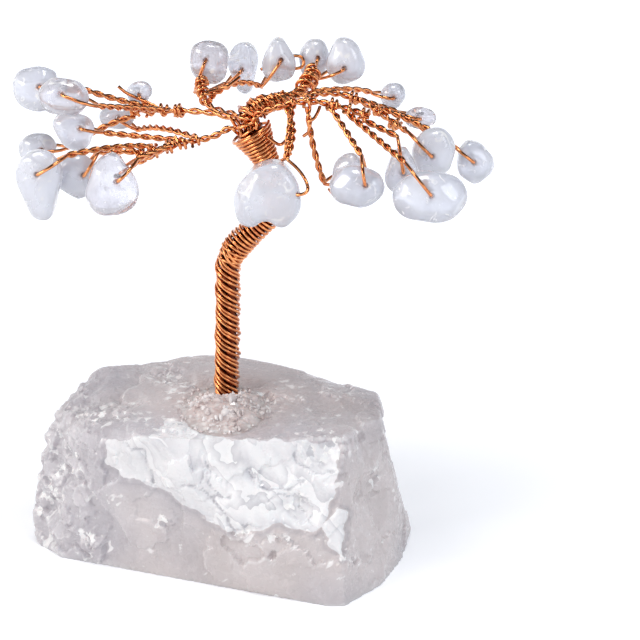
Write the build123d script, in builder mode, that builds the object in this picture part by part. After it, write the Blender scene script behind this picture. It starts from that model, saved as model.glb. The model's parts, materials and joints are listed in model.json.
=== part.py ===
from build123d import *

import os
from math import cos, pi, radians, sin, tan

# Gemstone tree ornament: a copper wire tree with quartz chips for leaves, on a rough quartz stone.
# Frame: millimetres, +Z up, -Y is the front, +X is to the right seen from the front.
# The origin is on the underside of the stone, below the foot of the trunk.

os.makedirs("parts", exist_ok=True)

# Copper wire: single, twisted in pairs, and laid up as the crown's bundle
wire_diameter = 0.6
twist_diameter = 2 * wire_diameter
crown_diameter = 2.2
wire_gap = 0.05
widest_bend = 10.0
overrun = 2.0

# Rough stone, with a seat drilled for the trunk
stone_width = 67.0
stone_depth = 49.0
stone_height = 27.0
seat_depth = 12.0
seat_gap = 0.1

# Trunk
trunk_rise = 49.0
trunk_diameter = 4.4
neck_length = 4.0
winding_turns = 24
winding_tightening = 1.42
winding_foot_gap = 2.2
winding_top_gap = 0.6

# Glue and grit round the foot
glue_width = 15.0
glue_depth = 22.0
glue_height = 1.5
glue_forward = 7.0
glue_top_share = 0.75
grit_size = 1.6
grit_side_shares = (1.0, 0.8, 0.7)
grit_spread_share = 0.2
grit_turns = (40.0, 25.0, 55.0)

# Crown
crown_reach = 42.0
stem_lift = 2.6
stem_gap = 0.2
collar_length = 1.3
collar_wall = 0.6
knot_diameter = 1.5

# Drilled chips on their loops of wire
chip_size_share = 2 / 7
drill_gap = 0.2
swing_gap = 0.3
loop_bend = 0.6
shoulder_bend = 0.7
shoulder_inset = 0.3
chip_range = 12.0
rim_share = 0.42
rim_limit_share = 0.9
fork_lead_share = 0.27
bend_share = 0.45

# The stone's corners: shares of its width, depth and height, from the trunk's axis on the underside
stone_corner_shares = (
    (-0.507, -0.102, 0.0),
    (-0.433, -0.216, 0.0),
    (0.273, -0.588, 0.0),
    (0.316, -0.584, 0.0),
    (0.412, -0.424, 0.0),
    (0.470, -0.224, 0.0),
    (0.493, -0.024, 0.0),
    (0.433, 0.245, 0.0),
    (0.149, 0.398, 0.0),
    (-0.239, 0.408, 0.0),
    (-0.463, 0.224, 0.0),
    (-0.510, -0.082, 0.22),
    (-0.497, -0.061, 0.52),
    (-0.463, -0.041, 0.82),
    (-0.440, -0.037, 0.89),
    (-0.403, 0.080, 0.89),
    (-0.396, 0.214, 0.91),
    (-0.334, 0.243, 1.0),
    (-0.190, 0.300, 1.0),
    (-0.081, 0.367, 1.0),
    (0.030, 0.339, 1.0),
    (0.128, 0.271, 1.0),
    (0.200, 0.149, 1.0),
    (0.403, 0.096, 0.93),
    (0.410, -0.122, 0.94),
    (0.301, -0.394, 1.0),
    (-0.201, -0.373, 1.0),
    (-0.299, -0.292, 0.91),
    (0.451, -0.184, 0.52),
    (0.307, -0.555, 0.33),
    (0.036, -0.467, 0.37),
    (-0.299, -0.296, 0.74),
)

# Flakes that came off as the stone was split: a place on its skin, as shares of its width, depth
# and height, the way the skin faces there, and the flake's radius and depth, as shares of its height
stone_flake_shares = (
    ((-0.18, -0.38, 0.83), (-0.36, -0.93, -0.06), 0.48, 0.033),
    ((-0.03, -0.44, 0.76), (-0.14, -0.97, 0.21), 0.52, 0.041),
    ((0.12, -0.43, 0.83), (-0.03, -0.92, 0.40), 0.52, 0.033),
    ((0.19, -0.49, 0.58), (-0.03, -0.92, 0.40), 0.41, 0.037),
    ((0.26, -0.41, 0.91), (-0.03, -0.92, 0.40), 0.30, 0.030),
    ((-0.32, -0.29, 0.38), (-0.36, -0.93, -0.06), 0.56, 0.030),
    ((-0.10, -0.40, 0.26), (-0.36, -0.93, -0.06), 0.56, 0.030),
    ((0.16, -0.54, 0.26), (-0.36, -0.93, -0.06), 0.48, 0.030),
    ((0.37, -0.26, 0.88), (0.85, -0.43, 0.32), 0.44, 0.037),
    ((0.38, -0.34, 0.50), (0.83, -0.49, 0.26), 0.48, 0.037),
    ((-0.43, -0.14, 0.63), (-0.71, -0.68, 0.16), 0.30, 0.037),
    ((-0.46, -0.14, 0.28), (-0.71, -0.69, 0.15), 0.30, 0.033),
    ((-0.26, -0.05, 1.00), (0.00, 0.00, 1.00), 0.48, 0.033),
    ((0.25, -0.09, 1.00), (0.14, 0.04, 0.99), 0.48, 0.033),
    ((-0.14, 0.17, 1.00), (0.00, 0.00, 1.00), 0.44, 0.026),
    ((-0.38, -0.01, 0.93), (-0.26, -0.08, 0.96), 0.19, 0.037),
    ((0.14, 0.33, 0.59), (0.36, 0.91, 0.20), 0.52, 0.044),
    ((-0.02, 0.39, 0.44), (0.02, 1.00, 0.07), 0.52, 0.041),
    ((-0.13, 0.37, 0.74), (-0.33, 0.92, 0.20), 0.37, 0.037),
    ((-0.32, 0.30, 0.52), (-0.41, 0.90, 0.17), 0.48, 0.041),
    ((0.31, 0.25, 0.44), (0.43, 0.86, 0.28), 0.48, 0.037),
    ((-0.47, 0.06, 0.44), (-0.93, 0.33, 0.18), 0.37, 0.033),
)

# The trunk's bends above its foot, as shares of its rise across and up
trunk_bend_shares = ((0.020, 0.56), (0.200, 0.70), (0.188, 0.84), (0.100, 1.0))

# Crystals in the glue: how far out each ring lies, and how many crystals it has
grit_ring_shares = (0.18, 0.28, 0.38)
grit_counts = (6, 11, 15)

# Branches that start on the neck's end: where on its ring of stems, as a share of a turn, and
# their routes, as shares of the crown's reach from the neck's top
branch_ring_shares = {
    "left_upper_branch": 0.40,
    "left_lower_branch": 0.60,
    "upper_back_branch": 0.28,
    "right_middle_branch": 0.88,
}
branch_route_shares = {
    "left_upper_branch": (
        (-0.11, 0.05, 0.05),
        (-0.21, 0.10, 0.05),
        (-0.38, 0.14, 0.04),
        (-0.49, 0.17, 0.03),
    ),
    "left_lower_branch": (
        (-0.15, -0.05, -0.02),
        (-0.26, -0.08, -0.02),
        (-0.45, -0.14, -0.07),
    ),
    "upper_back_branch": (
        (-0.12, 0.12, 0.04),
        (-0.20, 0.22, 0.05),
        (-0.21, 0.34, 0.12),
    ),
    "right_middle_branch": (
        (0.09, -0.03, 0.10),
        (0.22, -0.01, 0.13),
        (0.36, -0.01, 0.11),
        (0.48, -0.07, 0.08),
    ),
}
crown_route_shares = ((0.05, 0.03, 0.10), (0.15, 0.11, 0.10), (0.22, 0.20, 0.10), (0.26, 0.34, 0.15))
right_upper_route_shares = (
    (0.32, 0.21, 0.10),
    (0.42, 0.19, 0.08),
    (0.52, 0.15, 0.04),
    (0.61, 0.09, -0.02),
)
right_upper_seat_share = 0.60

# Chip outlines: shares of half a chip's width and height
chip_outline_shares = {
    "round": ((1, 0.1), (0.6, 0.95), (-0.35, 1), (-1, 0.35), (-0.75, -0.75), (0.25, -1)),
    "pear": ((0.95, 0.45), (0.35, 1), (-0.6, 0.9), (-1, 0.25), (-0.25, -0.95), (0.45, -1)),
    "oval": ((1, -0.1), (0.65, 0.8), (-0.45, 1), (-1, 0.2), (-0.7, -0.8), (0.5, -1)),
    "block": ((1, 0.6), (0.3, 1), (-0.85, 0.9), (-1, -0.35), (-0.35, -1), (0.8, -0.9)),
    "wedge": ((1, 0.1), (-0.2, 1), (-0.95, 0.75), (-0.8, -0.6), (0.05, -1)),
    "spire": ((0.15, 1), (-0.5, 0.7), (-1, -0.4), (-0.55, -1), (0.7, -0.95), (1, -0.1)),
    "heart": (
        (0.30, 1),
        (-0.45, 0.72),
        (-1, 0.05),
        (-0.85, -0.75),
        (-0.45, -0.95),
        (-0.06, -0.62),
        (0.40, -1),
        (0.98, -0.45),
        (0.86, 0.45),
    ),
}

# Each chip's place, as shares of the crown's reach from the neck's top, its width, height and
# thickness, as shares of the chip size, and its hole, as shares of its half width and height
chip_shares = {
    "left_far_chip": ((-0.87, 0.14, 0.13), (0.73, 0.67, 0.42), (0.2, 0.15)),
    "left_tip_chip": ((-0.74, -0.10, 0.172), (0.80, 0.57, 0.38), (0.0, 0.2)),
    "left_back_chip": ((-0.47, 0.38, 0.04), (0.43, 0.37, 0.27), (-0.1, 0.0)),
    "left_middle_chip": ((-0.70, 0.02, -0.004), (0.68, 0.67, 0.38), (0.1, 0.1)),
    "left_hidden_chip": ((-0.56, 0.27, -0.03), (0.57, 0.38, 0.28), (0.1, 0.0)),
    "left_shoulder_chip": ((-0.88, 0.16, -0.136), (0.62, 0.50, 0.33), (0.2, 0.1)),
    "left_drop_chip": ((-0.83, -0.26, -0.142), (0.72, 1.02, 0.45), (0.0, 0.35)),
    "left_inner_chip": ((-0.69, -0.12, -0.158), (0.70, 0.70, 0.37), (0.25, 0.2)),
    "left_front_chip": ((-0.54, -0.30, -0.12), (0.83, 0.93, 0.47), (0.15, 0.1)),
    "back_left_chip": ((-0.18, 0.43, 0.16), (0.60, 0.68, 0.37), (-0.1, 0.15)),
    "back_middle_chip": ((-0.04, 0.57, 0.094), (0.52, 0.80, 0.38), (-0.1, 0.0)),
    "back_right_chip": ((0.11, 0.45, 0.17), (0.55, 0.70, 0.37), (0.1, 0.0)),
    "crown_left_chip": ((0.26, 0.52, 0.14), (0.50, 0.67, 0.37), (0.2, 0.2)),
    "crown_right_chip": ((0.40, 0.40, 0.16), (0.72, 0.75, 0.43), (-0.2, -0.1)),
    "right_back_chip": ((0.59, 0.40, 0.02), (0.42, 0.42, 0.28), (0.0, 0.0)),
    "right_small_chip": ((0.70, 0.27, -0.034), (0.52, 0.35, 0.27), (0.0, 0.0)),
    "right_upper_chip": ((0.75, 0.01, -0.104), (0.70, 0.77, 0.42), (-0.2, 0.0)),
    "right_tip_chip": ((0.93, 0.12, -0.18), (0.68, 0.70, 0.40), (-0.25, 0.15)),
    "right_front_chip": ((0.72, -0.30, -0.18), (1.17, 0.77, 0.47), (0.0, 0.1)),
    "right_lower_chip": ((0.43, -0.29, -0.14), (0.85, 0.62, 0.42), (0.3, 0.15)),
    "right_inner_chip": ((0.61, -0.14, -0.116), (0.52, 0.70, 0.35), (0.1, -0.1)),
    "right_hidden_chip": ((0.41, -0.10, -0.15), (0.57, 0.60, 0.33), (-0.2, -0.1)),
    "heart_chip": ((0.075, -0.29, -0.17), (1.00, 1.02, 0.58), (0.42, 0.05)),
}

# Each chip's outline, the turn of its face to the right, its tilt back and its roll, and the
# side of its hole where its loop meets the twig, in degrees
chip_faces = {
    "left_far_chip": ("block", -8, 12, 10, 5),
    "left_tip_chip": ("oval", -5, 10, 0, -20),
    "left_back_chip": ("round", 10, 0, 0, -60),
    "left_middle_chip": ("wedge", 5, 12, 20, -15),
    "left_hidden_chip": ("oval", 0, 8, 0, -35),
    "left_shoulder_chip": ("round", 0, 5, 0, 0),
    "left_drop_chip": ("pear", -6, 6, 0, 32),
    "left_inner_chip": ("round", 0, 0, 40, 55),
    "left_front_chip": ("spire", 6, 8, 0, 42),
    "back_left_chip": ("block", -5, 5, 0, 250),
    "back_middle_chip": ("pear", 0, 5, 0, 225),
    "back_right_chip": ("spire", 4, 8, 0, 235),
    "crown_left_chip": ("round", 0, 5, 0, 250),
    "crown_right_chip": ("wedge", 5, 8, -30, 205),
    "right_back_chip": ("round", 5, 5, 0, 170),
    "right_small_chip": ("oval", 0, 10, -15, 165),
    "right_upper_chip": ("round", 8, 5, 15, 133),
    "right_tip_chip": ("wedge", 10, 5, -12, 140),
    "right_front_chip": ("oval", 4, 10, -6, 128),
    "right_lower_chip": ("oval", -4, 8, -8, 100),
    "right_inner_chip": ("spire", 0, 4, 0, 100),
    "right_hidden_chip": ("round", 0, 0, 30, 200),
    "heart_chip": ("heart", 0, 5, 0, 76),
}

# The heart's hole runs from its right edge to its back
heart_drill_turn = 45.0
heart_stand_share = 0.93

# Each chip's twig: the branch that its tails are wound on, how far along that branch, and any
# bends on the twig's way, as shares of the crown's reach
twig_shares = {
    "left_far_chip": ("left_upper_branch", 0.84, ((-0.60, 0.13, 0.10),)),
    "left_tip_chip": ("left_upper_branch", 0.72, ()),
    "left_back_chip": ("left_upper_branch", 0.60, ()),
    "left_middle_chip": ("left_lower_branch", 0.58, ()),
    "left_hidden_chip": ("left_lower_branch", 0.45, ((-0.38, 0.10, 0.00),)),
    "left_shoulder_chip": ("left_upper_branch", 0.96, ((-0.62, 0.17, -0.03),)),
    "left_drop_chip": ("left_lower_branch", 0.84, ((-0.51, -0.17, 0.0),)),
    "left_inner_chip": ("left_lower_branch", 0.96, ()),
    "left_front_chip": ("left_lower_branch", 0.70, ()),
    "back_left_chip": ("upper_back_branch", 0.95, ()),
    "back_middle_chip": ("upper_back_branch", 0.82, ()),
    "back_right_chip": ("upper_back_branch", 0.68, ((-0.06, 0.34, 0.13),)),
    "crown_left_chip": ("crown_branch", 0.86, ()),
    "crown_right_chip": ("crown_branch", 0.96, ()),
    "right_back_chip": ("crown_branch", 0.75, ((0.45, 0.34, 0.08),)),
    "right_small_chip": ("right_upper_branch", 0.50, ()),
    "right_upper_chip": ("right_upper_branch", 0.95, ()),
    "right_tip_chip": ("right_upper_branch", 0.75, ((0.74, 0.12, -0.03),)),
    "right_front_chip": ("right_middle_branch", 0.84, ()),
    "right_lower_chip": ("right_middle_branch", 0.70, ()),
    "right_inner_chip": ("right_middle_branch", 0.96, ()),
    "right_hidden_chip": ("right_middle_branch", 0.52, ((0.24, -0.10, -0.02),)),
    "heart_chip": ("right_middle_branch", 0.40, ()),
}

# Sizes that follow
chip_size = chip_size_share * crown_reach
core_diameter = trunk_diameter - 2 * (wire_diameter + wire_gap)
stem_ring_diameter = crown_diameter + twist_diameter + 2 * stem_gap
neck_diameter = stem_ring_diameter + twist_diameter + wire_diameter
neck_core_diameter = neck_diameter - 2 * (wire_diameter + wire_gap)
seat_diameter = trunk_diameter + 2 * seat_gap
drill_diameter = wire_diameter + 2 * drill_gap
stand_room = swing_gap + wire_diameter / 2
trunk_foot = Vector(0, 0, stone_height)


def save(part, name):
    """Labels a finished piece and writes it to its own file."""
    part.label = name
    export_step(part, f"parts/{name}.step")


def bend_radii(points):
    """The arc at each corner of a route: as large as both of its runs have room for."""
    radii = []
    for before, corner, after in zip(points, points[1:], points[2:]):
        run_in = corner - before
        run_out = after - corner
        turn = radians(run_in.get_angle(run_out))
        shorter = min(run_in.length, run_out.length)
        radii.append(min(widest_bend, bend_share * shorter / tan(turn / 2)))
    return radii


def route_wire(points, radii=None):
    """A route of straight runs, rounded at its corners."""
    with BuildLine() as route:
        if len(points) == 2:
            Line(*points)
        else:
            FilletPolyline(*points, radius=radii or bend_radii(points))
    return route.wire()


def add_tube(wire, diameter):
    """Adds a round wire along a route to the piece in hand."""
    with BuildSketch(Plane(origin=wire @ 0, z_dir=wire % 0)) as section:
        Circle(diameter / 2)
    sweep(sections=section.sketch, path=wire)


def seat_plane(host, along_share):
    """A place on a branch, with the branch as its Z axis."""
    wire = branch_wires[host]
    return Plane(origin=wire @ along_share, z_dir=wire % along_share)


def add_collar(plane, bore):
    """The tails of a twig, wound round the branch in close turns."""
    with Locations(plane):
        Cylinder(bore / 2 + collar_wall, collar_length)
        Cylinder(bore / 2, collar_length, mode=Mode.SUBTRACT)


def leave_collar(plane, bore, towards):
    """Where a twig leaves its collar, clear of the bore, on the side that it heads for."""
    out = towards - plane.origin
    aside = (out - plane.z_dir * out.dot(plane.z_dir)).normalized()
    heading = (out - aside * bore / 2).normalized()
    lean = abs(heading.dot(plane.z_dir))
    return plane.origin + aside * (bore / 2 + wire_gap + lean * twist_diameter / 2)


# The trunk's line: a seat in the stone, a slight lean, then a crook to the right and back
trunk_route = [trunk_foot - Vector(0, 0, seat_depth - wire_diameter)]
trunk_route += [
    trunk_foot + Vector(across * trunk_rise, 0, up * trunk_rise)
    for across, up in trunk_bend_shares
]
trunk_wire = route_wire(trunk_route)
trunk_length = trunk_wire.length
trunk_base = Plane(origin=trunk_wire @ 0, z_dir=trunk_wire % 0)
neck_top = Plane(origin=trunk_wire @ 1, z_dir=trunk_wire % 1)
hub = neck_top.origin


def in_crown(place_share):
    """A place in the crown, given in shares of the crown's reach from the neck's top."""
    return hub + Vector(*place_share) * crown_reach


# Rough stone, split by hand: hollows where flakes came off, a flat underside, and a drilled
# seat for the trunk
with BuildPart() as base_stone:
    ConvexPolyhedron(
        [
            (x * stone_width, y * stone_depth, z * stone_height)
            for x, y, z in stone_corner_shares
        ]
    )
    for (x, y, z), facing, radius_share, depth_share in stone_flake_shares:
        skin = Vector(x * stone_width, y * stone_depth, z * stone_height)
        lift = (radius_share - depth_share) * stone_height
        with Locations(skin + Vector(*facing).normalized() * lift):
            Sphere(radius_share * stone_height, mode=Mode.SUBTRACT)
    with Locations(Plane(origin=trunk_foot)):
        Hole(seat_diameter / 2, seat_depth)
save(base_stone.part, "base_stone")

# Core of the trunk: the straight lengths of wire, as one bar that widens at the neck
with BuildPart() as trunk_core:
    add_tube(trunk_wire, core_diameter)
    with Locations(neck_top.offset(-neck_length / 2)):
        Cone(core_diameter / 2, neck_core_diameter / 2, neck_length)
save(trunk_core.part, "trunk_core")


def winding_place(turn):
    """A point on the winding's centre line, after this many turns from its foot."""
    turn_share = turn / winding_turns
    first = seat_depth + winding_foot_gap
    span = trunk_length - winding_top_gap - first
    spread = winding_tightening * turn_share - (winding_tightening - 1) * turn_share**2
    along = first + span * spread
    flare = max(0, along - trunk_length + neck_length) / neck_length
    bare = core_diameter / 2 + flare * (neck_core_diameter - core_diameter) / 2
    radius = bare + wire_gap + wire_diameter / 2
    ahead = trunk_wire.tangent_at(along, PositionMode.LENGTH)
    back = Vector(0, 1, 0)
    aside = back.cross(ahead)
    angle = 2 * pi * turn
    centre = trunk_wire.position_at(along, PositionMode.LENGTH)
    return centre + (aside * cos(angle) + back * sin(angle)) * radius


def winding_heading(turn):
    """The direction of the wire there."""
    step = 0.001
    return (winding_place(turn + step) - winding_place(turn - step)).normalized()


def biarc(start, start_heading, end, end_heading):
    """Two arcs that leave one point and reach the next in the given directions."""
    across = end - start
    both = start_heading + end_heading
    slack = 2 * (1 - start_heading.dot(end_heading))
    lean = across.dot(both)
    reach = ((lean**2 + slack * across.dot(across)) ** 0.5 - lean) / slack
    middle = (start + end + (start_heading - end_heading) * reach) * 0.5
    TangentArc(start, middle, tangent=start_heading)
    TangentArc(middle, end, tangent=middle - start - start_heading * reach)


# Winding: one wire from the foot to the neck, open at the foot and closing up at the neck
quarters = range(4 * winding_turns + 1)
winding_stations = [(winding_place(q / 4), winding_heading(q / 4)) for q in quarters]
with BuildPart() as trunk_winding:
    with BuildLine() as winding_line:
        first, heading = winding_stations[0]
        Line(first - heading * wire_diameter, first)
        for (start, leaving), (end, arriving) in zip(winding_stations, winding_stations[1:]):
            biarc(start, leaving, end, arriving)
        last, heading = winding_stations[-1]
        Line(last, last + heading * wire_diameter)
    add_tube(winding_line.wire(), wire_diameter)
save(trunk_winding.part, "trunk_winding")

half_turn = 8
steps = range(2 * half_turn * winding_turns + 1)
checked_places = [winding_place(step / (2 * half_turn)) for step in steps]
turn_gap = min(
    (place - other).length - wire_diameter
    for i, place in enumerate(checked_places)
    for other in checked_places[i + half_turn :]
)
print("trunk_winding: least gap between turns", round(turn_gap, 3), "mm")

# Glue bed: a low mound on the stone, and a sleeve down the seat, round the trunk
glue_middle = trunk_foot - Vector(0, glue_forward, 0)
with BuildPart() as glue_bed:
    with BuildSketch(Plane(origin=glue_middle)):
        Ellipse(glue_width / 2, glue_depth / 2)
    with BuildSketch(Plane(origin=glue_middle + Vector(0, 0, glue_height))):
        Ellipse(glue_top_share * glue_width / 2, glue_top_share * glue_depth / 2)
    loft()
    with Locations(Plane(origin=trunk_foot - Vector(0, 0, seat_depth))):
        Cylinder(
            seat_diameter / 2 - wire_gap,
            seat_depth + wire_diameter,
            align=(Align.CENTER, Align.CENTER, Align.MIN),
        )
    with Locations(trunk_base):
        bore_length = 2 * (seat_depth + glue_height + overrun)
        Cylinder(core_diameter / 2 + wire_gap, bore_length, mode=Mode.SUBTRACT)
save(glue_bed.part, "glue_bed")

# Crushed crystal pressed into the glue, in rings that leave room round the trunk
bare_ring = trunk_diameter / 2 + grit_size
turn_x, turn_y, turn_z = grit_turns
with BuildPart() as crystal_grit:
    for ring, (reach_share, count) in enumerate(zip(grit_ring_shares, grit_counts)):
        for i in range(count):
            angle = 2 * pi * (i + ring / len(grit_counts)) / count
            size = grit_size * (1 - grit_spread_share * (1 + sin(count * i)))
            place = glue_middle + Vector(
                reach_share * glue_width * cos(angle),
                reach_share * glue_depth * sin(angle),
                glue_height,
            )
            if (place - trunk_foot).length < bare_ring:
                continue
            turns = (turn_x * i, turn_y * (ring + 1), turn_z * i)
            with Locations(Plane(origin=place).rotated(turns)):
                Box(*(share * size for share in grit_side_shares))
save(crystal_grit.part, "crystal_grit")

# Branches that start on the neck's end: the crown's bundle in the middle, with pairs of
# twisted wire in a ring round it
branch_points = {
    "crown_branch": [neck_top.from_local_coords((0, 0, lift)) for lift in (wire_gap, stem_lift)]
}
branch_points["crown_branch"] += [in_crown(place) for place in crown_route_shares]
for name, ring_share in branch_ring_shares.items():
    angle = 2 * pi * ring_share
    ring_x = stem_ring_diameter / 2 * cos(angle)
    ring_y = stem_ring_diameter / 2 * sin(angle)
    branch_points[name] = [
        neck_top.from_local_coords((ring_x, ring_y, lift)) for lift in (wire_gap, stem_lift)
    ]
    branch_points[name] += [in_crown(place) for place in branch_route_shares[name]]

branch_wires = {}
bores = {}
for name, points in branch_points.items():
    diameter = crown_diameter if name == "crown_branch" else twist_diameter
    branch_wires[name] = route_wire(points)
    bores[name] = diameter + 2 * wire_gap
    with BuildPart() as branch:
        add_tube(branch_wires[name], diameter)
    save(branch.part, name)

# Right upper branch: its tails are wound on the crown's bundle
right_upper_plane = seat_plane("crown_branch", right_upper_seat_share)
right_upper_points = [in_crown(place) for place in right_upper_route_shares]
right_upper_points.insert(
    0, leave_collar(right_upper_plane, bores["crown_branch"], right_upper_points[0])
)
branch_wires["right_upper_branch"] = route_wire(right_upper_points)
bores["right_upper_branch"] = twist_diameter + 2 * wire_gap
with BuildPart() as right_upper_branch:
    add_collar(right_upper_plane, bores["crown_branch"])
    add_tube(branch_wires["right_upper_branch"], twist_diameter)
save(right_upper_branch.part, "right_upper_branch")


def face_plane(place, turn, tilt):
    """A plane whose Z axis comes out of a chip's face, with X to its right."""
    turn = radians(turn)
    tilt = radians(tilt)
    out = Vector(sin(turn) * cos(tilt), -cos(turn) * cos(tilt), sin(tilt))
    return Plane(origin=place, x_dir=Vector(cos(turn), sin(turn), 0), z_dir=out)


def chip_corners(outline, roll, width, height):
    """A chip's outline at its real size, rolled in its own plane."""
    roll = radians(roll)
    return [
        (
            (x * cos(roll) - y * sin(roll)) * width / 2,
            (x * sin(roll) + y * cos(roll)) * height / 2,
        )
        for x, y in chip_outline_shares[outline]
    ]


def rim_distance(corners, hole, side):
    """How far the outline reaches from the hole on one side, over the chip's whole swing."""
    reaches = []
    for turn in (-chip_range, -chip_range / 2, 0, chip_range / 2, chip_range):
        ray_x = cos(radians(side + turn))
        ray_y = sin(radians(side + turn))
        for (ax, ay), (bx, by) in zip(corners, corners[1:] + corners[:1]):
            edge_x, edge_y = bx - ax, by - ay
            cross = ray_x * edge_y - ray_y * edge_x
            if cross == 0:
                continue
            along = ((ax - hole[0]) * edge_y - (ay - hole[1]) * edge_x) / cross
            place = ((ax - hole[0]) * ray_y - (ay - hole[1]) * ray_x) / cross
            if along > 0 and 0 <= place <= 1:
                reaches.append(along)
    return max(reaches)


def build_chip(plane, corners, thickness, drill_plane, name):
    """A tumbled chip: a rounded outline with a rounded rim, drilled through."""
    places = [Vector(*corner) for corner in corners]
    radii = [
        min(radius, thickness) for radius in bend_radii([places[-1]] + places + [places[0]])
    ]
    with BuildPart() as chip:
        with BuildSketch(plane):
            with BuildLine():
                FilletPolyline(*places, radius=radii, close=True)
            make_face()
        extrude(amount=thickness / 2, both=True)
        rims = chip.faces().filter_by(plane).edges()
        fillet(rims, min(rim_share * thickness, rim_limit_share * min(radii)))
        with Locations(drill_plane):
            Cylinder(drill_diameter / 2, 2 * chip_size, mode=Mode.SUBTRACT)
    save(chip.part, name)


def loop_points(drill_plane, fork, out, rim, stand):
    """The loop's corners: out of the fork, past the rim, through the hole and back."""
    half_pair = wire_diameter / 2 + wire_gap
    points = [fork + drill_plane.z_dir * half_pair]
    for height, shares in ((stand, (1, 0)), (-stand, (0, 1))):
        for share in shares:
            place = out * (share * (rim - shoulder_inset)) + Vector(0, 0, height)
            points.append(drill_plane.from_local_coords(place))
    return points + [fork - drill_plane.z_dir * half_pair]


def build_twig(seat, bends, drill_plane, side, rim, stand, name):
    """One wire: tails wound on the branch, a twisted run, a knot and a loop through the chip."""
    host, along_share = seat
    plane = seat_plane(host, along_share)
    out = Vector(cos(radians(side)), sin(radians(side)), 0)
    lead = 2 * fork_lead_share * (stand - stand_room) + swing_gap
    fork = drill_plane.from_local_coords(out * (rim + lead))
    run = [in_crown(bend) for bend in bends] + [fork]
    run.insert(0, leave_collar(plane, bores[host], run[0]))
    loop = loop_points(drill_plane, fork, out, rim, stand)
    loop_bends = (shoulder_bend, loop_bend, loop_bend, shoulder_bend)
    twisted_run = route_wire(run)
    with BuildPart() as twig:
        add_collar(plane, bores[host])
        add_tube(twisted_run, twist_diameter)
        add_tube(route_wire(loop, loop_bends), wire_diameter)
        with Locations(Plane(origin=fork, z_dir=twisted_run % 1)):
            Sphere(knot_diameter / 2)
    save(twig.part, name)


# Chips, each hanging on the loop of its own twig
for name, (place_share, size_shares, hole_shares) in chip_shares.items():
    width, height, thickness = (share * chip_size for share in size_shares)
    outline, turn, tilt, roll, side = chip_faces[name]
    plane = face_plane(in_crown(place_share), turn, tilt)
    corners = chip_corners(outline, roll, width, height)
    hole = (hole_shares[0] * width / 2, hole_shares[1] * height / 2)
    drill_turn = heart_drill_turn if outline == "heart" else turn
    drill_plane = face_plane(plane.from_local_coords((*hole, 0)), drill_turn, tilt)
    rim = rim_distance(corners, hole, side)
    stand = heart_stand_share * thickness if outline == "heart" else thickness / 2 + stand_room
    build_chip(plane, corners, thickness, drill_plane, name)
    host, along_share, bends = twig_shares[name]
    twig_name = name.replace("chip", "twig")
    build_twig((host, along_share), bends, drill_plane, side, rim, stand, twig_name)
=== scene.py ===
import json
import random
from math import cos, pi, radians, sin

import bmesh
import bpy
import numpy as np
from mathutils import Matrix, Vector
from mathutils.geometry import interpolate_bezier
from mathutils.kdtree import KDTree


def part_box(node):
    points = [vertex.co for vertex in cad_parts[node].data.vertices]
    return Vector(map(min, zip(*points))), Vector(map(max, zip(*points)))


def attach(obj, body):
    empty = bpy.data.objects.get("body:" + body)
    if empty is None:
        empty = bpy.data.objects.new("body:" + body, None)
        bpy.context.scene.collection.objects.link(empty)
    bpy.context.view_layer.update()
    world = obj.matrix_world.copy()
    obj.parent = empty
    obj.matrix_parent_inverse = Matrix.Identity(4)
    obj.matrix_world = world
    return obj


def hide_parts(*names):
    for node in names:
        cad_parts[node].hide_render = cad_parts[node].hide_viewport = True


# Gemstone tree: a copper wire tree with tumbled quartz leaves, glued into a split piece of quartz.
# Sizes in the tables are millimetres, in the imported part's frame.
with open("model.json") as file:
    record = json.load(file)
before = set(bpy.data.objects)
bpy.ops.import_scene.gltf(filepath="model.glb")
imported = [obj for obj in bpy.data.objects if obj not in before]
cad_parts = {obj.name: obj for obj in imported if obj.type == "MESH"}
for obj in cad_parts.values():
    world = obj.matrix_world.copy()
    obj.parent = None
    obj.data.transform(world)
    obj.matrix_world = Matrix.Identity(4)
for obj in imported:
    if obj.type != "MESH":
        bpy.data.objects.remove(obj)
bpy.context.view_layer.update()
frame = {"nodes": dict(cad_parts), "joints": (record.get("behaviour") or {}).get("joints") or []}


# Quartz stone: one rough lump, split with a hammer. Its underside is ground flat, its front is a
# fresh bright break, and its left end is still the rough skin that it grew with.

MM = 0.001


def linear(code):
    """A colour from a paint card, in the linear values that a shader takes."""
    parts = [int(code[i:i + 2], 16) / 255 for i in (0, 2, 4)]
    return tuple(p / 12.92 if p <= 0.04045 else ((p + 0.055) / 1.055) ** 2.4 for p in parts) + (1,)


def feed(node, inputs):
    """Sets inputs, by name or in their order, to values or to the outputs that feed them."""
    if isinstance(inputs, dict):
        pairs = [(node.inputs[name], value) for name, value in inputs.items()]
    else:
        pairs = zip([socket for socket in node.inputs if socket.enabled], inputs)
    for socket, value in pairs:
        if isinstance(value, bpy.types.NodeSocket):
            node.id_data.links.new(value, socket)
        else:
            socket.default_value = value


def add(tree, kind, inputs=(), out=None, **settings):
    """Adds a node to a material, sets and feeds it, and gives back one of its outputs."""
    node = tree.nodes.new("ShaderNode" + kind)
    for name, value in settings.items():
        setattr(node, name, value)
    feed(node, inputs)
    return node.outputs[out] if out else next(item for item in node.outputs if item.enabled)


def new_material(name):
    """An empty material, with its shader, its tree and the object's own coordinates."""
    material = bpy.data.materials.new(name)
    material.use_nodes = True
    tree = material.node_tree
    return material, tree, tree.nodes["Principled BSDF"], add(tree, "TexCoord", out="Object")


def cells(width):
    """The scale at which a pattern's cells are so many millimetres wide."""
    return 1 / (width * MM)


def copy_of(node):
    """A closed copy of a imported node's mesh, with its loose triangles joined up."""
    shape = bmesh.new()
    shape.from_mesh(frame["nodes"][node].data)
    bmesh.ops.remove_doubles(shape, verts=shape.verts, dist=0.002 * MM)
    return shape


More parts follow.
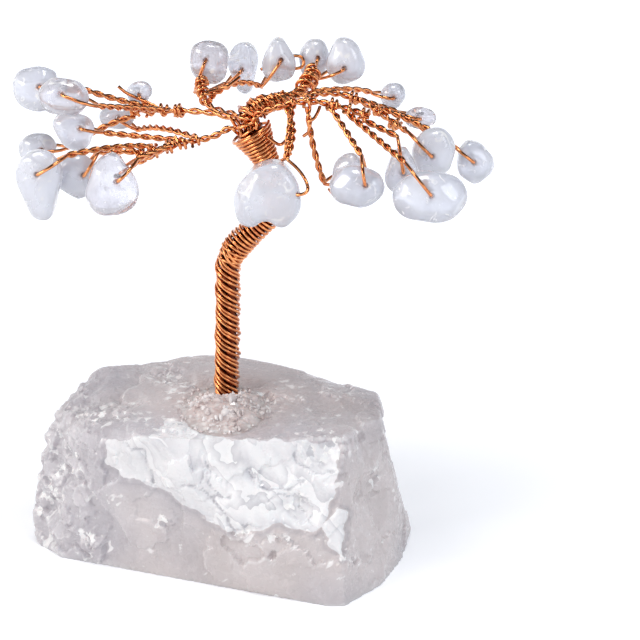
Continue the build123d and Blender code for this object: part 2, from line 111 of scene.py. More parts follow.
def finished(shape, name, material):
    """Turns a bmesh or a curve into a piece that shades smoothly."""
    if isinstance(shape, bmesh.types.BMesh):
        mesh = bpy.data.meshes.new(name)
        shape.to_mesh(mesh)
        shape.free()
    else:
        mesh = bpy.data.meshes.new_from_object(bpy.data.objects.new(name + "_line", shape))
    piece = bpy.data.objects.new(name, mesh)
    bpy.context.scene.collection.objects.link(piece)
    mesh.materials.clear()
    mesh.materials.append(material)
    mesh.shade_smooth()
    return piece


def reskin(piece, cell):
    """Covers a piece with an even skin of small faces, ready to be carved."""
    skin = piece.modifiers.new("skin", "REMESH")
    skin.mode = "VOXEL"
    skin.voxel_size = cell * MM
    bpy.context.view_layer.update()
    shown = piece.evaluated_get(bpy.context.evaluated_depsgraph_get())
    mesh = bpy.data.meshes.new_from_object(shown)
    piece.modifiers.clear()
    piece.data = mesh


def places_of(mesh):
    """The mesh's points and the ways they face, in millimetres."""
    points = np.empty(len(mesh.vertices) * 3)
    facing = np.empty(len(mesh.vertices) * 3)
    mesh.vertices.foreach_get("co", points)
    mesh.vertices.foreach_get("normal", facing)
    return points.reshape(-1, 3) / MM, facing.reshape(-1, 3)


def move_to(mesh, points):
    """Sets the mesh's points, given in millimetres."""
    mesh.vertices.foreach_set("co", (points * MM).ravel())
    mesh.update()


def smoothed(mesh, times, factor=0.5):
    """Rubs a mesh smooth."""
    shape = bmesh.new()
    shape.from_mesh(mesh)
    all_ways = {"use_axis_x": True, "use_axis_y": True, "use_axis_z": True}
    for _ in range(times):
        bmesh.ops.smooth_vert(shape, verts=shape.verts, factor=factor, **all_ways)
    shape.to_mesh(mesh)
    shape.free()


def mark(mesh, name, values):
    """Writes how far a finish applies at each point, for the material to read."""
    marks = mesh.attributes.new(name, "FLOAT", "POINT")
    marks.data.foreach_set("value", np.asarray(values, np.float32))


def chipped(points, cell, depth, tilt, seed):
    """How deep points lie where flakes came off, one slanted flat to a cell."""
    dice = random.Random(seed)
    low, high = points.min(0), points.max(0)
    count = int(np.prod(high - low) / cell**3)
    flakes = KDTree(count)
    middles, slopes, depths = [], [], []
    for i in range(count):
        middles.append([dice.uniform(a, b) for a, b in zip(low, high)])
        slopes.append([dice.uniform(-tilt, tilt) for _ in range(3)])
        depths.append(dice.uniform(-depth, depth))
        flakes.insert(middles[-1], i)
    flakes.balance()
    nearest = np.array([flakes.find(point)[1] for point in points])
    offset = points - np.array(middles)[nearest]
    lean = (offset * np.array(slopes)[nearest]).sum(1)
    return np.clip(np.array(depths)[nearest] + lean, -1.3 * depth, 1.3 * depth)


# The view that the break is drawn on: what it looks at, from how far, and how steeply down
view_middle = np.array((16.8, 0.0, 41.2))
view_distance = 450
view_slope = radians(22)
view_ahead = np.array((0, cos(view_slope), -sin(view_slope)))
view_up = np.array((0, sin(view_slope), cos(view_slope)))


def seen_from_front(points):
    """Where points lie in the view from the front, across and up from its middle."""
    local = points - view_middle
    zoom = view_distance / (view_distance + local @ view_ahead)
    return local[:, 0] * zoom, local @ view_up * zoom


def inside_outline(across, up, outline):
    """How far points lie inside an outline drawn on the front view, and less than 0 outside."""
    inside = np.zeros(len(across), bool)
    for (ax, ay), (bx, by) in zip(outline, outline[1:] + outline[:1]):
        crosses = (ay > up) != (by > up)
        reach = ax + (up - ay) / ((by - ay) or 1e-9) * (bx - ax)
        inside ^= crosses & (across < reach)
    away = distance_to(across, up, outline + outline[:1])
    return np.where(inside, away, -away)


def distance_to(across, up, line):
    """How far points lie from a line drawn on the front view, in mm."""
    away = np.full(len(across), 1e9)
    for (ax, ay), (bx, by) in zip(line, line[1:]):
        run_x, run_y = bx - ax, by - ay
        along = np.clip(((across - ax) * run_x + (up - ay) * run_y) / (run_x**2 + run_y**2), 0, 1)
        away = np.minimum(away, np.hypot(across - ax - along * run_x, up - ay - along * run_y))
    return away


# The fresh break, its small bright corner facet and the creases across it, drawn on the front view
break_outline = (
    (-37.4, -21.8), (-36.9, -21.1), (-30.5, -20.7), (-26.9, -18.1), (-26.0, -17.5), (-23.2, -17.7),
    (-20.5, -18.1), (-19.5, -19.5), (-17.7, -20.7), (-11.3, -20.9), (3.3, -21.6), (3.3, -23.6),
    (2.4, -31.0), (0.6, -36.0), (-1.7, -37.4), (-6.7, -35.5), (-13.1, -37.6), (-15.9, -36.9),
    (-20.5, -34.2), (-26.9, -30.5), (-28.7, -29.1), (-34.2, -27.3), (-37.4, -25.5),
)
corner_facet = ((0.6, -36.0), (3.3, -32.8), (4.7, -33.2), (3.8, -41.5), (1.5, -39.7))
crease_lines = (
    ((-20.9, -23.2), (-20.5, -29.1), (-17.7, -32.8), (-15.9, -35.5), (-13.6, -37.6)),
    ((-20.0, -23.2), (-19.1, -29.1), (-17.3, -31.4), (-15.9, -31.0)),
    ((-24.1, -28.7), (-22.3, -29.1), (-19.5, -30.5), (-18.2, -31.0)),
    ((-13.1, -26.4), (-11.3, -28.2), (-8.6, -29.8), (-6.3, -29.6), (-2.6, -28.4)),
    ((-9.5, -31.9), (-7.2, -30.5), (-4.0, -30.5), (-3.5, -32.8), (-2.2, -35.1), (0.6, -36.9)),
    ((-34.2, -20.9), (-33.3, -22.7), (-31.0, -23.2), (-30.1, -25.9), (-28.7, -29.1)),
    ((-3.5, -21.2), (-4.9, -23.1), (-3.5, -25.5), (-0.7, -26.6), (2.4, -26.9)),
)

# Where small bright crystals lie in clusters: their middles on the front view, and their reaches
clusters = (
    (0.3, -22.2, 4.6, 3.4), (-26.8, -9.6, 2.8, 2.4), (-38.5, -16.4, 6.5, 1.6),
    (-27.5, -18.0, 4.5, 1.2), (-45.5, -24.0, 3.0, 5.0), (-47.5, -31.0, 2.8, 4.0),
    (-41.5, -38.4, 3.8, 1.5), (-8.0, -38.3, 6.5, 0.9), (9.6, -27.6, 1.3, 3.2),
    (-27.0, -35.5, 1.8, 1.8), (-4.0, -32.0, 3.0, 2.6), (6.0, -42.0, 3.0, 1.5),
    (-14.0, -36.5, 4.0, 1.2), (-24.0, -13.5, 3.0, 3.2), (-9.5, -13.8, 3.4, 2.6),
)

rough_quartz, tree, shader, place = new_material("rough_quartz_split_and_unpolished")
# Grey-pink quartz with milky veils. The fresh break is nearly white, with painted shade in its
# creases and on its folds, sharp edges and ridges are paler, and the glue stains the top pink.
# Glints and the shade under the break's lower rim are painted on as well
veils = {"Vector": place, "Scale": cells(16.67), "Detail": 5.0, "Roughness": 0.6}
veils = add(tree, "TexNoise", veils)
veil = add(tree, "MapRange", (veils, 0.38, 0.64))
fleck = {"Vector": place, "Scale": cells(2.083), "Detail": 3.0, "Roughness": 0.7}
fleck = add(tree, "TexNoise", fleck)
warmth = add(tree, "TexNoise", {"Vector": place, "Scale": cells(35.71), "Detail": 2.0})

# Crystals a millimetre wide lie in clusters with ragged outlines. Some are painted white as glints
# on their facets, and some grey as painted shade on their facets
ragged_place = (fleck.node.outputs["Color"], (1.6 * MM, 1.6 * MM, 1.6 * MM), place)
ragged_place = add(tree, "VectorMath", ragged_place, operation="MULTIPLY_ADD")
crystal = add(tree, "TexVoronoi", {"Vector": ragged_place, "Scale": cells(1.111)}, "Color")
clustered = add(tree, "Attribute", out="Fac", attribute_name="cluster")
broken_up = add(tree, "MapRange", (fleck, 0.35, 0.6, 0.0, 1.5))
clustered = add(tree, "Math", (clustered, broken_up), operation="MULTIPLY")
painted_crystal_glints = (
    add(tree, "MapRange", (crystal, 0.66, 0.76)), add(tree, "MapRange", (clustered, 0.15, 0.6))
)
painted_crystal_glints = add(tree, "Math", painted_crystal_glints, operation="MULTIPLY")
painted_crystal_shade = (
    add(tree, "MapRange", (crystal, 0.29, 0.17)),
    add(tree, "MapRange", (clustered, 0.2, 0.7, 0.0, 0.6)),
)
painted_crystal_shade = add(tree, "Math", painted_crystal_shade, operation="MULTIPLY")

# Painted glints: thin bright streaks that run aslant in the quartz, painted highlights in its
# colour
glint_run = {"Vector": place, "Rotation": (0, radians(42), 0), "Scale": (1.0, 1.0, 4.0)}
glint_run = add(tree, "Mapping", glint_run, vector_type="TEXTURE")
painted_glints = add(tree, "TexNoise", {"Vector": glint_run, "Scale": cells(1.923), "Detail": 2.0})
# Sharp edges and ridges are paler; flecks, the glint streaks and the white crystals add painted
# highlights
pale_edges = add(tree, "MapRange", (add(tree, "NewGeometry", out="Pointiness"), 0.52, 0.6, 0.0, 0.7))
pale_edges_and_painted_glints = pale_edges
for light in (
    add(tree, "MapRange", (fleck, 0.66, 0.72, 0.0, 0.7)),
    add(tree, "MapRange", (painted_glints, 0.66, 0.71, 0.0, 0.8)),
    painted_crystal_glints,
):
    pale_edges_and_painted_glints = add(tree, "Math", (pale_edges_and_painted_glints, light), operation="MAXIMUM")

# The quartz itself, cool in places and warm in others, with the glue's stain, painted shade on
# grey crystals, painted shade along the break's lower rim, paler edges and painted glints
cool = add(tree, "Mix", (veil, linear("BEBAC1"), linear("D4D1D7")), data_type="RGBA")
warm = add(tree, "Mix", (veil, linear("C8C0C1"), linear("D8D1D3")), data_type="RGBA")
warmed = add(tree, "MapRange", (warmth, 0.42, 0.6))
body = add(tree, "Mix", (warmed, cool, warm), data_type="RGBA")
stained = add(tree, "Attribute", out="Fac", attribute_name="glue_stain")
stained = add(tree, "Math", (stained, 0.75), operation="MULTIPLY")
# Painted shade: the quartz just below the break's lower edge is painted darker, as the shade under
# its step
painted_rim_shade = add(tree, "Attribute", out="Fac", attribute_name="break_rim")
painted_rim_shade = add(tree, "Math", (painted_rim_shade, 0.45), operation="MULTIPLY")
for share, tone in (
    (stained, "CFC1C0"), (painted_crystal_shade, "A9A6AE"), (painted_rim_shade, "A5A2AA"), (pale_edges_and_painted_glints, "F8F7F9"),
):
    body = add(tree, "Mix", (share, body, linear(tone)), data_type="RGBA")

# The break is satiny, with folds a few millimetres wide that each end in a step, and creases. Each
# fold is painted darker towards its step and the creases are painted grey, as painted shade
broken = add(tree, "Attribute", out="Fac", attribute_name="fresh_break")
fold_run = {"Vector": place, "Rotation": (0, radians(-32), 0), "Scale": (1.0, 1.0, 2.6)}
fold_run = add(tree, "Mapping", fold_run, vector_type="TEXTURE")
folds = {"Vector": fold_run, "Scale": cells(6.667), "Detail": 3.0, "Distortion": 0.5}
folds = add(tree, "Math", (add(tree, "TexNoise", folds), 7.0), operation="MULTIPLY")
step = add(tree, "Math", (folds,), operation="FRACT")
painted_fold_shade = (
    add(tree, "Math", (step, 2.2), operation="POWER"),
    add(tree, "MapRange", (veils, 0.40, 0.58, 0.14, 0.62)),
)
painted_fold_shade = add(tree, "Math", painted_fold_shade, operation="MULTIPLY")
crease_and_fold_shade = add(tree, "Attribute", out="Fac", attribute_name="crease")
uneven = add(tree, "MapRange", (fleck, 0.35, 0.65, -0.45, 0.25))
crease_and_fold_shade = add(tree, "Math", (crease_and_fold_shade, uneven), operation="ADD")
crease_and_fold_shade = add(tree, "MapRange", (crease_and_fold_shade, 0.35, 1.0, 0.0, 0.8))
crease_and_fold_shade = add(tree, "Math", (crease_and_fold_shade, painted_fold_shade), operation="MAXIMUM")
fresh_tone = add(tree, "Mix", (veil, linear("E9E9ED"), linear("F8F8FB")), data_type="RGBA")
for share, tone in ((painted_crystal_glints, "FDFDFD"), (painted_crystal_shade, "ABAAB3"), (crease_and_fold_shade, "B2B1BA")):
    fresh_tone = add(tree, "Mix", (share, fresh_tone, linear(tone)), data_type="RGBA")
ragged_edge = add(tree, "MapRange", (fleck, 0.3, 0.7, -0.14, 0.14))
ragged_edge = add(tree, "Math", (broken, ragged_edge), operation="ADD")
ragged_edge = add(tree, "MapRange", (ragged_edge, 0.42, 0.52))

# Glassy on the crystals and in flecks, and matt elsewhere
glassy = add(tree, "MapRange", (fleck, 0.4, 0.66))
glassy = add(tree, "Math", (glassy, clustered), operation="MAXIMUM")
grit_bumps = {"Vector": ragged_place, "Scale": cells(1.613)}
grit_bumps = add(tree, "TexVoronoi", grit_bumps, feature="SMOOTH_F1")
grain = add(tree, "Math", (grit_bumps, fleck), operation="ADD")
step_height = add(tree, "Math", (broken, 0.8), operation="MULTIPLY")
step_height = add(tree, "Math", (step, step_height), operation="MULTIPLY")
grain = add(tree, "Math", (grain, step_height), operation="SUBTRACT")
bump = {"Height": grain, "Distance": 0.3 * MM}
bump["Strength"] = add(tree, "MapRange", (clustered, 0.0, 1.0, 0.13, 0.85))
feed(shader, {
    "Base Color": add(tree, "Mix", (ragged_edge, body, fresh_tone), data_type="RGBA"),
    "Roughness": add(tree, "MapRange", (glassy, 0.0, 1.0, 0.36, 0.10)),
    "Normal": add(tree, "Bump", bump),
    "IOR": 1.544,
    "Subsurface Weight": 0.35,
    "Subsurface Radius": (1.0, 0.85, 0.85),
    "Subsurface Scale": 3 * MM,
})

# The stone's sizes, and the middle and half sizes of the glue that it carries
stone_skin, stone_top = 0.42, 27
glue_forward, glue_half_width, glue_half_depth = 7, 7.5, 11.0

stone = finished(copy_of("base_stone"), "quartz_stone", rough_quartz)
reskin(stone, stone_skin)
points, facing = places_of(stone.data)
towards = -facing @ view_ahead
across, up = seen_from_front(points)
# The drawn edges wander a little
across += 0.25 * np.sin(1.7 * up) + 0.07 * np.sin(5.3 * up + 1)
up += 0.28 * np.sin(1.3 * across + 2) + 0.07 * np.sin(4.1 * across)
inside = np.maximum(
    inside_outline(across, up, break_outline), inside_outline(across, up, corner_facet)
)
fresh = np.clip(0.5 + inside / 1.2, 0, 1) * (towards > 0.25)
# Painted shade: a band just below the break's lower edge, where the step would shade the quartz
rim = np.exp(-((inside + 0.55) / 0.45) ** 2) * (towards > 0.25) * (up < -24)
# The creases are carved as shallow grooves, and the same marks paint shade into them
crease = [np.exp(-(distance_to(across, up, line) / 0.36) ** 2) for line in crease_lines]
crease = np.max(crease, 0) * fresh
# The glue stains the top round its mound
from_glue = np.hypot(points[:, 0] / 9.5, (points[:, 1] + 5) / 12.5)
stain = np.clip((1.45 - from_glue) / 0.7, 0, 1) * (points[:, 2] > stone_top - 2.5)
cluster = np.zeros(len(points))
for mid_across, mid_up, wide, high in clusters:
    reach = np.hypot((across - mid_across) / wide, (up - mid_up) / high)
    cluster = np.maximum(cluster, np.clip(1.3 - reach, 0, 1) * (towards > 0.1))

# Flakes came off everywhere: long shells from the break, and small ones from the rough left end
left_end = np.clip((-19 - points[:, 0]) / 5, 0, 1)
left_end *= np.clip((stone_top + 0.5 - points[:, 2]) / 2, 0.4, 1)
rough = np.clip(left_end + cluster, 0, 1)
wavy = points + 0.8 * np.sin(points[:, [1, 2, 0]] * 0.8 + 1)
wavy += 0.35 * np.sin(points[:, [2, 0, 1]] * 2.3)
broad = chipped(wavy, cell=8.5, depth=0.38, tilt=0.07, seed=3)
shell = chipped(wavy * (0.6, 1, 1), cell=6.0, depth=0.32, tilt=0.14, seed=14)
coarse = chipped(wavy, cell=3.0, depth=0.40, tilt=0.24, seed=5)
fine = chipped(points, cell=1.7, depth=0.16, tilt=0.22, seed=8)
depth = broad * (1 - fresh) + shell * fresh + 0.30 * crease
depth += coarse * (0.15 + 0.85 * rough) * (1 - 0.75 * fresh)
depth += fine * (0.2 + 0.8 * rough) * (1 - 0.5 * fresh)

# The seat, the underside and the stone under the glue stay as they were drilled, ground and glued
under_glue = np.hypot(
    points[:, 0] / glue_half_width, (points[:, 1] + glue_forward) / glue_half_depth
)
calm = np.clip((np.hypot(points[:, 0], points[:, 1]) - 3.2) / 2, 0, 1)
calm *= np.clip(points[:, 2] / 1.2, 0, 1)
calm[(under_glue < 1.05) & (points[:, 2] > stone_top - 1)] = 0
points -= facing * (np.clip(depth, -0.6, 0.9) * calm)[:, None]
low, high = (np.array(corner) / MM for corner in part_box("base_stone"))
move_to(stone.data, np.clip(points, low - (0.9, 0, 0), high + (0.3, 0.3, 0.2)))
smoothed(stone.data, 1, 0.35)
for name, values in (
    ("fresh_break", fresh), ("crease", crease), ("break_rim", rim), ("glue_stain", stain),
    ("cluster", cluster),
):
    mark(stone.data, name, values)
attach(stone, "tree")
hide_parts("base_stone")


# Glue round the trunk's foot: clear resin that slumped before it set, pinkish from the crushed
# quartz stirred into it. It thins out to nothing on the stone.

clear_glue, tree, shader, place = new_material("clear_resin_glue_with_crushed_quartz")
# Pale pink-beige, wet-looking, with grains of quartz just under the surface
grains = add(tree, "TexVoronoi", {"Vector": place, "Scale": cells(1.25), "Randomness": 1.0})
cloud = add(tree, "TexNoise", {"Vector": place, "Scale": cells(4.545), "Detail": 4.0})
clouded = add(tree, "MapRange", (cloud, 0.4, 0.62))
tint = add(tree, "Mix", (clouded, linear("CDBEBD"), linear("E0D4D3")), data_type="RGBA")
sparkle = add(tree, "MapRange", (grains, 0.1, 0.5, 0.8, 0.0))
feed(shader, {
    "Base Color": add(tree, "Mix", (sparkle, tint, linear("F4F0F0")), data_type="RGBA"),
    "Roughness": add(tree, "MapRange", (cloud, 0.35, 0.65, 0.14, 0.4)),
    "Normal": add(tree, "Bump", {"Height": grains, "Strength": 0.5, "Distance": 0.3 * MM}),
    "Subsurface Weight": 0.3,
    "Subsurface Radius": (1.0, 0.7, 0.65),
    "Subsurface Scale": 2 * MM,
})


def glue_thickness(x, y):
    """How much of the mound's full height is left at a place, down to nothing at its wavy rim."""
    turn = np.arctan2(y + glue_forward, x)
    wavy = 1 + 0.07 * np.sin(3 * turn + 1) + 0.06 * np.sin(5 * turn + 2) + 0.04 * np.sin(11 * turn)
    reach = np.hypot(x / glue_half_width, (y + glue_forward) / glue_half_depth)
    rim = np.clip((1.0 - reach * wavy) / 0.55, 0.015, 1)
    return rim * np.clip(0.35 + (np.hypot(x + 0.6, y) - 2.6) / 4, 0.35, 1)


glue_skin, glue_rise = 0.3, 1.9

glue = finished(copy_of("glue_bed"), "glue_mound", clear_glue)
reskin(glue, glue_skin)
points, facing = places_of(glue.data)
above = np.clip(points[:, 2] - stone_top, 0, None)
clear_of_trunk = np.clip((np.hypot(points[:, 0], points[:, 1]) - 2.2) / 1.5, 0, 1)
lumps = chipped(points, cell=1.5, depth=0.35, tilt=0.35, seed=11)
lumps *= np.clip(above / 0.8, 0, 1) * clear_of_trunk
points -= facing * lumps[:, None]
thinned = np.clip(points[:, 2] - stone_top, 0, glue_rise)
thinned *= glue_thickness(points[:, 0], points[:, 1])
points[:, 2] = np.where(above > 0, stone_top + thinned, points[:, 2])
move_to(glue.data, points)
smoothed(glue.data, 1)
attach(glue, "tree")
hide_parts("glue_bed")


# Crushed quartz: splinters pressed into the glue by hand while it was still soft, with the largest
# ones stood up against the front of the foot.

crushed_quartz, tree, shader, place = new_material("crushed_quartz_splinters")
# Clear to milky splinters, some stained pink by the glue under them
stain = add(tree, "TexNoise", {"Vector": place, "Scale": cells(3.333), "Detail": 2.0})
stained = add(tree, "MapRange", (stain, 0.42, 0.6))
feed(shader, {
    "Base Color": add(
        tree, "Mix", (stained, linear("D2C5C4"), linear("F0ECED")), data_type="RGBA"
    ),
    "Roughness": add(tree, "MapRange", (stain, 0.3, 0.7, 0.08, 0.3)),
    "IOR": 1.544,
    "Coat Weight": 0.6,
    "Coat Roughness": 0.05,
})

splinter_count = 240
dice = random.Random(21)
grit_shape = bmesh.new()


def splinter(place, size, stretch):
    """One broken grain of quartz, set down at a place."""
    grain = bmesh.ops.create_icosphere(grit_shape, subdivisions=1, radius=size * MM)["verts"]
    bmesh.ops.scale(grit_shape, vec=stretch, verts=grain)
    for vert in grain:
        vert.co *= dice.uniform(0.75, 1.15)
    bmesh.ops.translate(grit_shape, vec=place * MM, verts=grain)


# Scattered at random, thickest near the trunk, and then the largest, placed one by one
for _ in range(splinter_count):
    turn = dice.uniform(0, 2 * pi)
    reach = dice.uniform(0.05, 1.0) ** 0.7
    x, y = reach * 8.3 * cos(turn), reach * 11.3 * sin(turn) - 6.6
    size = dice.uniform(0.22, 0.95) * (1.15 - 0.7 * reach)
    if x * x + y * y > 8.4 and y > -17.2:
        lift = 1.5 * float(glue_thickness(x, y)) + 0.25 * size
        stretch = Vector([dice.uniform(0.5, 1.3) for _ in range(3)])
        splinter(Vector((x, y, stone_top + lift)), size, stretch)
for x, y, size in (
    (-3.4, -2.3, 0.55), (-2.7, -3.0, 0.7), (-1.9, -3.3, 0.65), (-1.1, -3.6, 0.75),
    (-0.2, -3.5, 0.6), (-2.4, -4.2, 0.5), (-0.9, -4.5, 0.55), (0.9, -3.6, 0.5), (0.3, -4.8, 0.45),
):
    splinter(Vector((x, y, stone_top + 0.9)), size, Vector((0.7, 0.6, 1.1)))
grit = finished(grit_shape, "quartz_splinters", crushed_quartz)
grit.data.shade_flat()
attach(grit, "tree")
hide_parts("crystal_grit")


# Trunk core: the straight lengths of wire that the trunk is laid round, drawn together into one
# bar that widens at the neck. Only slivers of it show between the turns.

copper, tree, shader, place = new_material("drawn_copper_wire_lacquered")
# Bright drawn copper under clear lacquer, a little uneven in tone along its length. The marks of
# drawing are coarser than the real ones, which wouldn't show
tone = add(tree, "TexNoise", {"Vector": place, "Scale": cells(1.538), "Detail": 3.0})
toned = add(tree, "MapRange", (tone, 0.35, 0.65))
drawn = add(tree, "TexNoise", {"Vector": place, "Scale": cells(0.1923), "Detail": 2.0})
feed(shader, {
    "Base Color": add(tree, "Mix", (toned, linear("CC7A48"), linear("EE9F62")), data_type="RGBA"),
    "Roughness": add(tree, "MapRange", (tone, 0.3, 0.7, 0.14, 0.24)),
    "Normal": add(tree, "Bump", {"Height": drawn, "Strength": 0.12, "Distance": 0.05 * MM}),
    "Metallic": 1.0,
    "Coat Weight": 0.5,
    "Coat Roughness": 0.05,
})

# The wire's radius, and how far apart the points of a wire's line are
wire_radius, station_gap = 0.3, 0.25


def smooth_line(corners):
    """Even stations along the smooth line that a wire takes past its corners."""
    curve = bpy.data.curves.new("line", "CURVE")
    curve.dimensions = "3D"
    spline = curve.splines.new("NURBS")
    spline.points.add(len(corners) - 1)
    for point, corner in zip(spline.points, corners):
        point.co = (*corner, 1)
    spline.order_u = 3
    spline.use_endpoint_u = True
    spline.resolution_u = 24
    mesh = bpy.data.meshes.new_from_object(bpy.data.objects.new("line", curve))
    return stations([vert.co.copy() for vert in mesh.vertices], station_gap)


def stations(line, spacing):
    """The same line with its points evenly apart."""
    total = sum((b - a).length for a, b in zip(line, line[1:]))
    count = max(2, round(total / spacing))
    even, walked, goal = [line[0].copy()], 0.0, total / count
    for a, b in zip(line, line[1:]):
        run = (b - a).length
        while walked + run >= goal and len(even) < count:
            even.append(a.lerp(b, (goal - walked) / run))
            goal += total / count
        walked += run
    return even + [line[-1].copy()]


def wires(paths, name, radius=wire_radius, swell=None):
    """Round wires along their paths, as one copper piece that stands with the tree."""
    curve = bpy.data.curves.new(name, "CURVE")
    curve.dimensions = "3D"
    curve.bevel_depth = radius * MM
    curve.bevel_resolution = 2
    curve.use_fill_caps = True
    for path in paths:
        spline = curve.splines.new("POLY")
        spline.points.add(len(path) - 1)
        for i, (point, place) in enumerate(zip(spline.points, path)):
            point.co = (*(place * MM), 1)
            point.radius = swell(i / (len(path) - 1)) if swell else 1.0
    piece = finished(curve, name, copper)
    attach(piece, "tree")
    return piece


# The core's wires are painted dark brown, as painted shade in the grooves between the laid wires
groove_shade_copper = copper.copy()
groove_shade_copper.name = "copper_core_painted_dark_as_shade"
for node in groove_shade_copper.node_tree.nodes:
    if node.bl_idname == "ShaderNodeMix":
        feed(node, {6: linear("4E2014"), 7: linear("642C1A")})
feed(groove_shade_copper.node_tree.nodes["Principled BSDF"], {"Coat Weight": 0.0})

trunk_line = smooth_line((
    (0, 0, 15.6), (0.7, 0, 42), (0.85, 0, 48), (0.98, 0, 54.4), (9.8, 0, 61.3), (9.2, 0, 68.2),
    (4.9, 0, 76),
))
core_radius, neck_radius, neck_start = 1.5, 2.1, 0.938


def core_at(share):
    """The core's radius along the trunk: it widens over the neck's last 4 mm."""
    widened = max(0, share - neck_start) / (1 - neck_start)
    return core_radius + widened * (neck_radius - core_radius)


core = wires([trunk_line], "trunk_core_bar", core_radius, lambda s: core_at(s) / core_radius)
core.data.materials[0] = groove_shade_copper
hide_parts("trunk_core")


# Trunk wires: nine lengths laid round the core side by side, from the glue to the crook, then
# two more wound tight round the crook and the neck, all of the same copper.

def carried(line, side):
    """Each station with the way ahead, a side that turns as little as it can, and its back."""
    for i, point in enumerate(line):
        ahead = (line[min(i + 1, len(line) - 1)] - line[max(i - 1, 0)]).normalized()
        side = (side - ahead * side.dot(ahead)).normalized()
        yield point, ahead, side, ahead.cross(side)


def wound(line, side, radius, lead, start=0.0, begin=0.0, end=1.0):
    """One wire wound round a line. Radius and lead may change with the share of the way along."""
    path, turn, last = [], start, line[0]
    for i, (point, ahead, right, back) in enumerate(carried(line, side)):
        share = i / (len(line) - 1)
        turn += (point - last).length / (lead(share) if callable(lead) else lead)
        last = point
        away = radius(share) if callable(radius) else radius
        if begin <= share <= end:
            path.append(point + (right * cos(2 * pi * turn) + back * sin(2 * pi * turn)) * away)
    return path


# The play between wires, where the lay starts and ends, and the length of one of its turns
play = 0.04
lay_start, lay_end, lay_lead = 0.14, 0.63, -8.3
# How far each wire of the lay rides up on its neighbours
heaped = (0.0, 0.08, 0.30, 0.36, 0.10, 0.0, 0.24, 0.32, 0.12)
seam = Vector((1, 0, 0))
dice = random.Random(5)
lay = []
for i, lift in enumerate(heaped):
    beat, late = dice.uniform(5, 8), dice.uniform(0, 6)

    def stand_off(share, lift=lift, beat=beat, late=late):
        """How far this wire lies from the trunk's middle."""
        ride = lift * (0.65 + 0.35 * sin(2 * pi * share * beat + late))
        return core_radius + play + wire_radius + ride

    start = (i + dice.uniform(-0.16, 0.16)) / len(heaped)
    end = lay_end - dice.uniform(0, 0.02)
    lay.append(wound(trunk_line, seam, stand_off, lay_lead, start, lay_start, end))

close_line = stations(trunk_line, 0.035)


def binding_radius(share):
    """The binding climbs over the ends of the lay at the crook, then follows the core."""
    climb = min(1, max(0, (0.70 - share) / 0.05)) * min(1, max(0, (share - 0.56) / 0.05)) * 0.45
    return core_at(share) + play + wire_radius + climb + 0.05 * sin(share * 210)


def binding_lead(share):
    """Open turns where the binding starts, and closer ones above."""
    return 0.76 + 0.30 * max(0, 0.62 - share) / 0.06


binding = wound(close_line, seam, binding_radius, binding_lead, 0, 0.57, 0.995)
collar_start = 0.885


def collar_radius(share):
    """A second layer widens the neck into a cone, up to the branches."""
    cone = 1.15 * max(0, share - collar_start) / 0.11
    return core_at(share) + play + wire_radius + cone + 0.06 * sin(share * 300)


collar = wound(close_line, seam, collar_radius, 0.68, 0.4, collar_start, 0.998)
trunk = wires(lay + [binding, collar], "trunk_wires", 0.275)
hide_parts("trunk_winding")


# Branches: pairs of the same wire, twisted by hand until they stand up, set in a ring on the neck
# round the crown's bundle.

def pair(line, side, radius=wire_radius, lead=3.9, start=0.0):
    """Two wires twisted together along a line."""
    return [wound(line, side, radius, lead, start + half) for half in (0, 0.5)]


branch_corners = {
    "left_upper": ((3.5, 1.1, 75.3), (2.3, 1.1, 77.5), (0.3, 2.1, 78.1), (-3.9, 4.2, 78.1),
                   (-11.1, 5.9, 77.7), (-15.7, 7.1, 77.3)),
    "left_lower": ((3.5, -1.1, 75.3), (2.3, -1.1, 77.5), (-1.4, -2.1, 75.2), (-6.0, -3.4, 75.2),
                   (-14.0, -5.9, 73.1)),
    "upper_back": ((4.6, 1.9, 75.9), (3.3, 1.9, 78.1), (-0.1, 5.0, 77.7), (-3.5, 9.2, 78.1),
                   (-3.9, 14.3, 81.0)),
    "right_middle": ((6.1, -1.3, 76.7), (4.9, -1.3, 78.9), (8.7, -1.3, 80.2), (14.1, -0.4, 81.5),
                     (20.0, -0.4, 80.6), (25.1, -2.9, 79.4)),
    "right_upper": ((13.9, 5.2, 80.2), (18.3, 8.8, 80.2), (22.5, 8.0, 79.4), (26.7, 6.3, 77.7),
                    (30.5, 3.8, 75.2)),
    "crown": ((4.9, 0.0, 76.0), (3.6, 0.0, 78.3), (7.0, 1.3, 80.2), (11.2, 4.6, 80.2),
              (14.1, 8.4, 80.2), (15.8, 14.3, 82.3)),
}
branch_lines = {name: smooth_line(corners) for name, corners in branch_corners.items()}
branch_leads = {
    "left_upper": 5.6, "left_lower": 3.9, "upper_back": 5.6, "right_middle": 3.9,
    "right_upper": 3.9,
}
for name, lead in branch_leads.items():
    twisted = pair(branch_lines[name], Vector((0, 1, 0.3)), 0.34, lead)
    branch = wires(twisted, name + "_pair")
    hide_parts(name + "_branch")


# Crown bundle: three pairs laid up into one stem, with four open wraps bound over them where they
# leave the neck.

stem_side = Vector((0, 1, 0.2))
